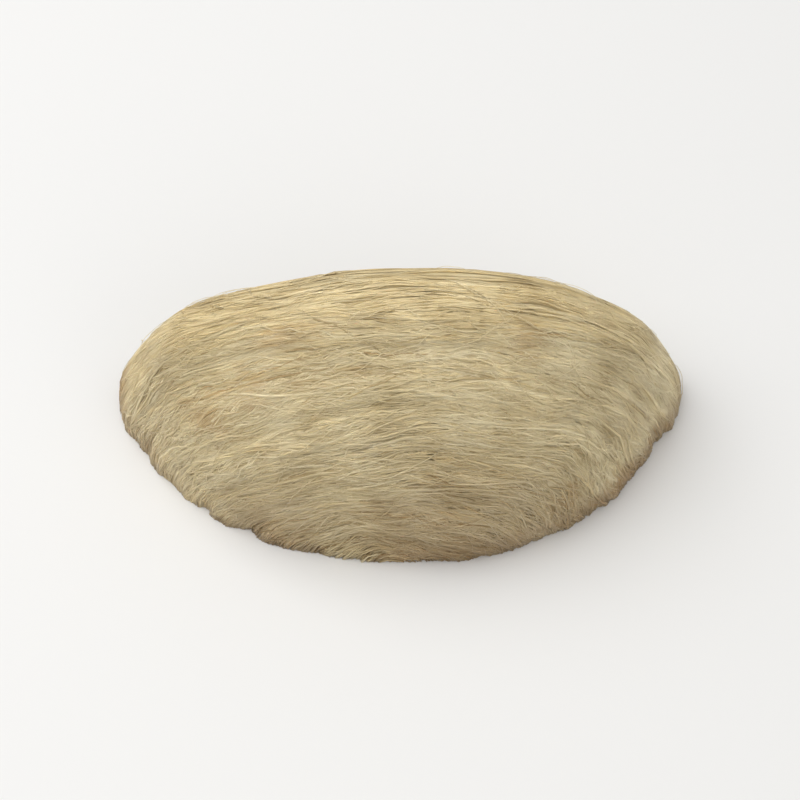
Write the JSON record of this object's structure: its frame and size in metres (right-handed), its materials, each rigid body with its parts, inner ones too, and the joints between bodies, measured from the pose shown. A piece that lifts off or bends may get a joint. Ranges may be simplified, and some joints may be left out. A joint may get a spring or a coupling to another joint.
{
  "type": "edible bird's nest",
  "caption": "Dry half-cup bird's nest of pale hardened strands, with a rounded rim and an open hollow, resting on the flat face where it was cut from the wall.",
  "frame": {"origin": "middle of the nest's base on the flat cut face, in the plane that the nest rests on", "axes": "+X along the wall the nest was built on, foot to foot; +Y out of the mouth; +Z out from the wall, towards the front of the cup"},
  "size_m": [0.091, 0.0368, 0.038],
  "materials": {
    "strands": "dry fine strands laid side by side, cream to khaki, slightly glossy and faintly see-through"
  },
  "bodies": {
    "root": {"nest": "strands"}
  },
  "joints": []
}
